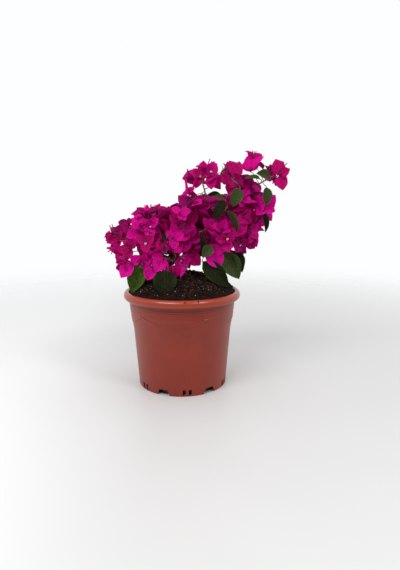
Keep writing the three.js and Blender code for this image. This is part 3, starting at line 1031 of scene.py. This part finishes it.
# ---------------------------------------------------------------- leaves
# Broad, entire, pointed leaves on short stalks, folded a little along the midrib. The upper side is
# dark green with paler veins and a reddish midrib. The largest hang low round the crown's foot.

BLADE_ROWS = 9
BLADE_COLUMNS = 7
EDGE_WAVE = 0.035
LEAF_CUP = 0.15


def blades(base, along, face, length, width, outline, bend, cup, fold, rng):
    """Thin blades, all worked out at once. t runs from a blade's foot to its tip and s from edge to
    edge. The midline is an arc that turns by bend away from its face; a point lies beside it by
    s times the half width outline(t), lifted by fold * |s| and cup * s^2 and rippled along its edge."""
    count = len(base)
    t = np.linspace(0, 1, BLADE_ROWS)[None, :, None]
    s = np.linspace(-1, 1, BLADE_COLUMNS)[None, None, :]
    along, face = unit(along), unit(face - (face * unit(along)).sum(-1, keepdims=True) * unit(along))
    across = np.cross(along, face)
    each = lambda values: np.asarray(values).reshape(-1, 1, 1) * np.ones((count, 1, 1))
    bend = np.where(np.abs(each(bend)) < 1e-3, 1e-3, each(bend))
    half = each(width) / 2 * outline(t)
    forward = each(length) * np.sin(bend * t) / bend
    back = each(length) * (1 - np.cos(bend * t)) / bend
    phase = rng.uniform(0, 2 * math.pi, (count, 1, 1))
    wiggle = np.sin(2 * math.pi * 1.7 * t + phase + 0.9 * np.sign(s))
    ripple = EDGE_WAVE * wiggle * s ** 2 * np.sin(math.pi * t)
    lift = half * (each(fold) * np.abs(s) + each(cup) * s ** 2) + each(width) * ripple
    beside = half * s * (1 - 0.25 * each(fold) ** 2)
    rise = -back + lift * np.cos(bend * t)
    onward = forward + lift * np.sin(bend * t)
    points = base[:, None, None]
    for direction, reach in ((along, onward), (across, beside), (face, rise)):
        points = points + direction[:, None, None] * reach[..., None]
    offsets = np.arange(count)[:, None, None] * BLADE_ROWS * BLADE_COLUMNS
    quads = (grid_faces(BLADE_ROWS, BLADE_COLUMNS)[None, :, ::-1] + offsets).reshape(-1, 4)
    shape = (1, BLADE_ROWS, BLADE_COLUMNS)
    spread = np.broadcast_to(outline(t), shape)
    uv = np.stack([0.5 + 0.49 * s * spread, 0.005 + 0.99 * np.broadcast_to(t, shape)], -1)
    return points.reshape(-1, 3), quads, np.tile(uv.reshape(-1, 2), (count, 1))


def leaf_outline(t):
    """Half width from foot to tip, 1 at the widest: a rounded foot, and a short point."""
    return np.maximum(np.sin(math.pi * np.clip(t, 0, 1) ** 0.80) ** 0.80, 0.02) * (1 - 0.18 * t ** 3)


def leaf_paint(name, dark, light, vein):
    """Leaf green by the blade's own map: side veins that curve up from a reddish midrib."""
    paint = Paint(name, Specular_IOR_Level=0.07)
    u, v, _ = paint.parts_of(paint.place("UV"))
    away = (u - 0.5).size()
    ribs = (v * 8 - away * 9 + away * away * 5).fraction() - 0.5
    side_veins = 1 - ribs.size().between(0.03, 0.11)
    midrib = 1 - away.between(0.008, 0.022)
    mottle = paint.noise(paint.place("UV"), 9, 4, 0.6)
    margin = away.between(0.30, 0.49)
    green = paint.mixed(mottle.between(0.3, 0.7), dark, light)
    green = paint.mixed(side_veins * 0.35, green, vein)
    green = paint.mixed(margin * 0.35, green, vein)
    green = paint.mixed(midrib * 0.22, green, (0.10, 0.055, 0.022))
    height = side_veins * -0.5 + midrib * -0.8 + mottle * 0.6
    return paint, {
        "Base_Color": green,
        "Roughness": 0.42 + 0.22 * mottle,
        "Normal": paint.bumped(height, 0.0007, 0.7),
    }


leaf_rng = np.random.default_rng(51)
leaf_sets = {"leaves_dark": [], "leaves_mid": [], "leaves_fresh": []}
stalks = []


def add_leaf(tint, anchor, foot, tip, share, fold, face, bend):
    """Notes one leaf: a stalk that curves from its twig to the blade's foot, and the blade."""
    along = unit(tip - foot)
    length = np.linalg.norm(tip - foot)
    bow = min(0.35 * np.linalg.norm(foot - anchor), 0.006)
    path = smooth_path([anchor, foot - along * bow, foot + along * 0.001], 0.002)
    stalks.append(tube(path, np.linspace(0.0008, 0.00055, len(path)), 5))
    leaf_sets[tint].append((foot, along, face, length, length * share, bend, fold))


for index, (tint, foot_at, tip_at, share, fold, face) in zip(sites_of("shown leaf"), shown_leaves):
    add_leaf(tint, anchors[index], metres(foot_at), metres(tip_at), share, fold, np.array(face), 0.3)
for index in sites_of("leaves"):
    out = outward[index]
    for _ in range(int(leaf_rng.integers(2, 4))):
        along = unit(out + leaf_rng.normal(0, 0.55, 3) - 0.25 * sky)
        face = unit(sky * 0.9 + out * 0.8 + leaf_rng.normal(0, 0.35, 3))
        foot_at = sites[index] + along * 0.005
        tip_at = foot_at + along * leaf_rng.uniform(0.024, 0.036)
        if outside_by(tip_at) > 0.012:
            continue
        tint = leaf_rng.choice(list(leaf_sets), p=[0.45, 0.4, 0.15])
        share, fold = leaf_rng.uniform(0.58, 0.7), leaf_rng.uniform(0.15, 0.6)
        add_leaf(tint, anchors[index], foot_at, tip_at, share, fold, face, leaf_rng.uniform(0.1, 0.9))

# The dark tint's greens are partly the leaves' own darker green and partly painted shade, made darker for
# the leaves that lie in the crown's shadow.
# Each tint's dark and light green and the colour of its veins.
for tint, colours in (
    ("leaves_dark", ((0.0045, 0.0075, 0.0016), (0.011, 0.016, 0.0035), (0.036, 0.042, 0.012))),
    ("leaves_mid", ((0.026, 0.040, 0.010), (0.046, 0.064, 0.018), (0.100, 0.115, 0.045))),
    ("leaves_fresh", ((0.026, 0.058, 0.006), (0.058, 0.105, 0.012), (0.12, 0.16, 0.040))),
):
    base, along, face, length, width, bend, fold = (np.array(column) for column in zip(*leaf_sets[tint]))
    sizes = length, width, leaf_outline
    points, quads, uv = blades(base, along, face, *sizes, bend, LEAF_CUP, fold, leaf_rng)
    leaves = mesh_piece(tint, points, quads, uv=uv)
    paint, green = leaf_paint(tint + "_finish", *colours)
    paint.finish(leaves, **green)
    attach(leaves, "root")
    if tint == "leaves_dark":
        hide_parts(*sorted(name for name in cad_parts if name.startswith("leaves_")))


def two_shades(piece, name, specular, scale, spread, dark, light, roughness):
    """A mottled finish for a small piece: two shades in patches of about 1 / scale, and rougher
    where it is light."""
    paint = Paint(name, Specular_IOR_Level=specular)
    tone = paint.noise(paint.place(), scale, 3)
    shade = paint.mixed(tone.between(*spread), dark, light)
    paint.finish(piece, Base_Color=shade, Roughness=roughness + 0.2 * tone)


stalk_piece = joined("leaf_stalks", stalks)
two_shades(stalk_piece, "leaf_stalk", 0.35, 300, (0.3, 0.7), (0.07, 0.09, 0.03), (0.16, 0.10, 0.05), 0.5)
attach(stalk_piece, "root")

# ---------------------------------------------------------------- bracts
# Papery magenta bracts, set in threes round three small flowers, one or two threes to a spray. They
# are ovate with a drawn-out point, veined, a little cupped, and wavy along the edge.

BRACT_FOLD = 0.12
bract_rng = np.random.default_rng(75)


def bract_outline(t):
    """Half width from foot to tip, 1 at the widest: a broad rounded foot and a short point."""
    return np.interp(t, (0, 0.06, 0.17, 0.32, 0.45, 0.60, 0.75, 0.87, 0.95, 1),
                     (0.06, 0.48, 0.83, 0.98, 1, 0.92, 0.71, 0.41, 0.16, 0.02))


def bract_paint(name, deep, bright, vein):
    """Papery colour by the bract's own map: a fine net of veins that fans out from the midrib, a
    deeper foot, and light that passes through."""
    paint = Paint(name, Specular_IOR_Level=0.12)
    u, v, _ = paint.parts_of(paint.place("UV"))
    away = (u - 0.5).size()
    ribs = (v * 7 - away * 11 + away * away * 9).fraction() - 0.5
    side_veins = 1 - ribs.size().between(0.02, 0.10)
    net = 1 - paint.cells(paint.place("UV"), 16, "DISTANCE_TO_EDGE").between(0.0, 0.05)
    midrib = 1 - away.between(0.006, 0.018)
    mottle = paint.noise(paint.place("UV"), 5, 4, 0.6)
    magenta = paint.mixed(mottle.between(0.3, 0.7), deep, bright)
    magenta = paint.mixed(v.between(0.0, 0.35) * -0.3 + 0.3, magenta, vein)
    magenta = paint.mixed(side_veins * 0.30 + net * 0.14, magenta, vein)
    magenta = paint.mixed(midrib * 0.55, magenta, vein)
    crumple = paint.noise(paint.place("UV"), 3.2, 3, 0.5)
    height = side_veins * 0.5 + midrib * 0.8 + net * 0.25 + crumple * 2.2
    paint.blended(0.20, paint.node("ShaderNodeBsdfTranslucent", {}, {"Color": bright}))
    return paint, {
        "Base_Color": magenta,
        "Roughness": 0.55 + 0.2 * mottle,
        "Normal": paint.bumped(height, 0.0006, 0.8),
    }


bract_sets = {"bracts_bright": [], "bracts_mid": [], "bracts_deep": [], "bracts_rosy": []}
tints = np.array(list(bract_sets))
flowers = []
spray_stalks = []


def add_bract(tint, foot, tip, face, share, bend, cup, freedom):
    """Notes one bract, cut short by up to three tenths where its tip would reach further than its
    freedom out of the masses of foliage."""
    along = unit(tip - foot)
    length = np.linalg.norm(tip - foot)
    length -= min(max(outside_by(foot + along * length) - freedom, 0), 0.3 * length)
    bract_sets[tint].append((foot, along, face, length, length * share, bend, cup))


def try_three(middle, axis, size, rng):
    """Foot, tip and facing of three bracts at thirds of a turn about the axis, opened out from it."""
    side = unit(np.cross(axis, rng.normal(size=3)))
    other = np.cross(axis, side)
    spin = rng.uniform(0, 2 * math.pi)
    open_angle = rng.uniform(0.6, 1.25)
    bracts = []
    for third in range(3):
        angle = spin + third * 2 * math.pi / 3 + rng.normal(0, 0.16)
        out = math.cos(angle) * side + math.sin(angle) * other
        lean = open_angle + rng.normal(0, 0.12)
        along = math.cos(lean) * axis + math.sin(lean) * out
        foot_at = middle + out * 0.0012
        tip_at = foot_at + along * size * rng.uniform(0.88, 1.1)
        bracts.append((foot_at, tip_at, math.sin(lean) * axis - math.cos(lean) * out))
    return bracts


def add_flowers(index, middle, axis, across, size, width, sides):
    """Notes the flowers in the middle of a three, and the stalk from the twig to them."""
    flowers.append((middle, axis, unit(np.cross(axis, across)), size))
    spray_stalks.append(tube(np.linspace(anchors[index], middle, 3), np.full(3, width), sides))


# The listed threes come first. Of the others, each spray takes the best of six tries, the one that keeps
# its tips deepest in the foliage, and drops the bracts that are in the way.
for index in sites_of("shown three"):
    middle, *tips = metres(shown_threes[index])
    axis = unit(sum(unit(tip - middle) for tip in tips) * 0.5 + front + 0.2 * sky)
    tint = bract_rng.choice(tints, p=[0.28, 0.35, 0.17, 0.20])
    for tip in tips:
        face = axis + bract_rng.normal(0, 0.25, 3)
        bend, cup = bract_rng.uniform(-0.1, 0.4), bract_rng.uniform(0.1, 0.3)
        add_bract(tint, middle, tip, face, 0.86, bend, cup, 0.02)
    add_flowers(index, middle, axis, sky, 0.020, 0.00055, 5)
for index in sites_of("threes"):
    tint = bract_rng.choice(tints, p=[0.32, 0.34, 0.17, 0.17])
    for _ in range(int(bract_rng.choice([1, 2], p=[0.55, 0.45]))):
        axis = unit(outward[index] + bract_rng.normal(0, 0.5, 3) + 0.2 * sky)
        middle = sites[index] + axis * bract_rng.uniform(0, 0.004)
        size = bract_rng.uniform(0.0225, 0.0290)
        tries = []
        for _ in range(6):
            lean = unit(axis + bract_rng.normal(0, 0.3, 3))
            tries.append(try_three(middle, lean, size, bract_rng))
        best = min(tries, key=lambda bracts: max(outside_by(tip) for _, tip, _ in bracts))
        kept = 0
        for foot_at, tip, face in best:
            marks = foot_at + (tip - foot_at) * np.array([[0.3], [0.65], [1.0]])
            if (in_opening(marks) | hides_blade(marks)).any():
                continue
            kept += 1
            share, bend = bract_rng.uniform(0.74, 0.90), bract_rng.uniform(-0.2, 0.8)
            cup, freedom = bract_rng.uniform(0.15, 0.5), 0.0005 + 0.007 * bract_rng.uniform() ** 2
            add_bract(tint, foot_at, tip, face, share, bend, cup, freedom)
        if kept:
            add_flowers(index, middle, axis, bract_rng.normal(size=3), size, 0.00045, 4)

# Each tint's deep and bright magenta and the colour of its veins.
for tint, colours in (
    ("bracts_bright", ((0.62, 0.0005, 0.250), (0.84, 0.0010, 0.370), (0.44, 0.0005, 0.150))),
    ("bracts_mid", ((0.45, 0.0005, 0.160), (0.64, 0.0008, 0.235), (0.30, 0.0005, 0.090))),
    ("bracts_deep", ((0.27, 0.0005, 0.110), (0.41, 0.0008, 0.165), (0.18, 0.0005, 0.060))),
    ("bracts_rosy", ((0.42, 0.0005, 0.115), (0.58, 0.0010, 0.175), (0.30, 0.0005, 0.065))),
):
    base, along, face, length, width, bend, cup = (np.array(column) for column in zip(*bract_sets[tint]))
    sizes = length, width, bract_outline
    points, quads, uv = blades(base, along, face, *sizes, bend, cup, BRACT_FOLD, bract_rng)
    bracts = mesh_piece(tint, points, quads, uv=uv)
    paint, magenta = bract_paint(tint + "_finish", *colours)
    paint.finish(bracts, **magenta)
    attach(bracts, "root")
    if tint == "bracts_bright":
        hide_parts(*masses)

# ---------------------------------------------------------------- flowers
# Three slender tubes stand in the middle of each three of bracts, swollen low down and again at the
# mouth; here and there one has opened its small cream star. A thin stalk holds each three.

STAR_POINTS = 5
STAR_CHANCE = 0.03
TUBE_WIDTHS = (0.0006, 0.00085, 0.0007, 0.0008)
flower_rng = np.random.default_rng(81)


def star_mesh():
    """A shallow cup of three rings that turn into a star towards the edge, closed on a point."""
    count = 2 * STAR_POINTS
    step = np.arange(count)
    angle = step * math.pi / STAR_POINTS
    reach = np.where(step % 2 == 0, 1.0, 0.52)
    rings = []
    for share, lift in ((0.22, -0.25), (0.55, 0.0), (1.0, 0.12)):
        out = share * (reach if share == 1 else 0.5 + 0.5 * reach)
        rings.append(np.stack([out * np.cos(angle), out * np.sin(angle), np.full(count, lift)], -1))
    points = np.vstack([*rings, [[0, 0, -0.5]]])
    centre = np.stack([np.full(count, len(points) - 1), step, (step + 1) % count], -1)
    return points, grid_faces(len(rings), count, around=True), centre


def copies(shape, places, turns, sizes, *face_groups):
    """Every copy of a small shape, turned, scaled and put in its place, with its faces."""
    points = np.einsum("nij,nvj->nvi", turns, shape[None] * sizes[:, None, None]) + places[:, None, :]
    offsets = np.arange(len(places))[:, None, None] * len(shape)
    faces = [(group[None] + offsets).reshape(-1, group.shape[1]) for group in face_groups]
    return points.reshape(-1, 3), *faces


flower_tubes, star_places, star_turns, star_sizes = [], [], [], []
for middle, axis, side, size in flowers:
    other = np.cross(axis, side)
    for third in range(3):
        angle = third * 2 * math.pi / 3 + flower_rng.uniform(-0.4, 0.4)
        lean = unit(axis + 0.28 * (math.cos(angle) * side + math.sin(angle) * other))
        end = middle + lean * size * flower_rng.uniform(0.42, 0.56)
        flower_tubes.append(tube(np.linspace(middle, end, 4), np.array(TUBE_WIDTHS), 5))
        if flower_rng.uniform() < STAR_CHANCE:
            star_places.append(end)
            star_turns.append(np.stack([side, np.cross(lean, side), lean], -1))
            star_sizes.append(flower_rng.uniform(0.0016, 0.0023))
star, *star_faces = star_mesh()
star_copies = copies(star, np.array(star_places), np.array(star_turns), np.array(star_sizes), *star_faces)
star_piece = mesh_piece("flower_stars", *star_copies)
two_shades(star_piece, "cream_star", 0.3, 700, (0.35, 0.65), (0.78, 0.70, 0.50), (0.88, 0.84, 0.72), 0.5)
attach(star_piece, "root")

tube_piece = joined("flower_tubes", flower_tubes)
two_shades(tube_piece, "flower_tube", 0.3, 500, (0.35, 0.65), (0.22, 0.004, 0.08), (0.40, 0.012, 0.15), 0.5)
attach(tube_piece, "root")

spray_stalk_piece = joined("spray_stalks", spray_stalks)
stalk_shades = (0.16, 0.05, 0.05), (0.30, 0.03, 0.10)
two_shades(spray_stalk_piece, "spray_stalk", 0.3, 400, (0.35, 0.65), *stalk_shades, 0.5)
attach(spray_stalk_piece, "root")

# ---------------------------------------------------------------- thorns
# Slim thorns, bowed a little, grow out of the shoots' bark and show against the light on the
# crown's upper side.

THORN_COUNT = 40
thorn_rng = np.random.default_rng(91)
thorns = []


def add_thorn(start, tip, bow):
    """Notes a thorn: a cone along a slightly bowed line, thick at its foot."""
    t = np.linspace(0, 1, 5)[:, None]
    widths = 0.0009 * (1 - t[:, 0]) ** 0.8 + 0.00006
    thorns.append(tube(start + (tip - start) * t + bow * t * (1 - t), widths, 5))


for index, (_, tip) in zip(sites_of("shown thorn"), shown_thorns):
    add_thorn(anchors[index], metres(tip), 0.0015 * sky)
may_bear = np.flatnonzero((radius > 0.0006) & (radius < LIMB_RADIUS))
for index in thorn_rng.choice(may_bear, THORN_COUNT, replace=False):
    grow = unit(skeleton[index] - skeleton[parents[index]])
    side = unit(np.cross(grow, thorn_rng.normal(size=3)))
    length = thorn_rng.uniform(0.006, 0.013)
    add_thorn(skeleton[index], skeleton[index] + side * length + grow * length * 0.25, grow * -0.002)
thorn_piece = joined("thorns", thorns)
two_shades(thorn_piece, "thorn", 0.4, 350, (0.35, 0.65), (0.05, 0.045, 0.02), (0.17, 0.12, 0.06), 0.4)
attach(thorn_piece, "root")

# ---------------------------------------------------------------- studio
# A pale floor that fades into a white surround, two soft lights high on either side of the camera,
# and the camera at a short distance, a little above the crown's middle.

FLOOR_COLUMNS = 64
CAMERA_DIP = 0.18168
CAMERA_TURN = 0.04040

ring_radius = np.array([0.02, 0.3, 0.6, 1.0, 1.5, 2.2, 3.0])[:, None]
floor_points, floor_quads, floor_fans = turned(ring_radius, 0 * ring_radius, FLOOR_COLUMNS)
floor = mesh_piece("floor", floor_points, floor_quads[:, ::-1], floor_fans[:FLOOR_COLUMNS, ::-1])
paint = Paint("pale_floor")
x, y, _ = paint.parts_of(paint.place())
away = (x * x + y * y) ** 0.5
clear = paint.node("ShaderNodeBsdfTransparent", {}, {})
paint.blended(away.between(0.22, 1.5), clear)
soft = paint.noise(paint.place(), 6, 2)
pale = paint.mixed(soft, (0.61, 0.605, 0.60), (0.65, 0.645, 0.64))
# Painted light: the floor is painted lighter towards -X, a pool of light on the key light's side.
pale = paint.mixed(x.between(-0.32, -0.02), (0.78, 0.78, 0.78), pale)
paint.finish(floor, Base_Color=pale, Roughness=0.42 + 0.1 * soft)
floor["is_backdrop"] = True

# The surround shows white, but lights the plant less from the camera's side than from behind.
scene = bpy.context.scene
world = bpy.data.worlds.new("white_surround")
world.use_nodes = True
surround = world.node_tree.nodes["Background"]
surround.inputs["Color"].default_value = (0.985, 0.99, 1, 1)
direction = world.node_tree.nodes.new("ShaderNodeTexCoord")
axes = world.node_tree.nodes.new("ShaderNodeSeparateXYZ")
dimmer = world.node_tree.nodes.new("ShaderNodeMapRange")
for socket, value in (("From Min", -0.8), ("From Max", 0.1), ("To Min", 0.36), ("To Max", 0.96)):
    dimmer.inputs[socket].default_value = value
backdrop = world.node_tree.nodes.new("ShaderNodeMath")
backdrop.operation = "MAXIMUM"
light_path = world.node_tree.nodes.new("ShaderNodeLightPath")
for output, socket in (
    (direction.outputs["Generated"], axes.inputs[0]),
    (axes.outputs["Y"], dimmer.inputs["Value"]),
    (dimmer.outputs[0], backdrop.inputs[0]),
    (light_path.outputs["Is Camera Ray"], backdrop.inputs[1]),
    (backdrop.outputs[0], surround.inputs["Strength"]),
):
    world.node_tree.links.new(output, socket)
scene.world = world


def soft_light(name, turn, height, distance, size, power):
    """A square soft box that looks at the crown's middle; turn counts from the front, towards +X."""
    data = bpy.data.lights.new(name, "AREA")
    data.shape = "RECTANGLE"
    data.size, data.size_y = size
    data.energy = power
    light = bpy.data.objects.new(name, data)
    angle = math.radians(turn)
    light.location = (distance * math.sin(angle), -distance * math.cos(angle), height)
    light.rotation_euler = (Vector((0, 0, 0.2)) - light.location).to_track_quat("-Z", "Y").to_euler()
    scene.collection.objects.link(light)


soft_light("key_box", -33, 1.25, 1.0, (0.85, 0.35), 11.5)
soft_light("fill_box", 43, 1.15, 1.0, (0.35, 0.35), 5)

camera_data = bpy.data.cameras.new("camera")
camera_data.lens = 28.42
camera_data.sensor_width = 36
camera_data.clip_start = 0.02
camera = bpy.data.objects.new("camera", camera_data)
camera.location = tuple(EYE)
camera.rotation_euler = (math.pi / 2 - CAMERA_DIP, 0, -CAMERA_TURN)
scene.collection.objects.link(camera)
scene.camera = camera
scene.view_settings.view_transform = "Standard"
scene.view_settings.look = "None"
scene.cycles.use_denoising = True

visual_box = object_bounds()
({
    "cad": [list(corner) for corner in cad_box],
    "visual": [list(corner) for corner in visual_box],
})
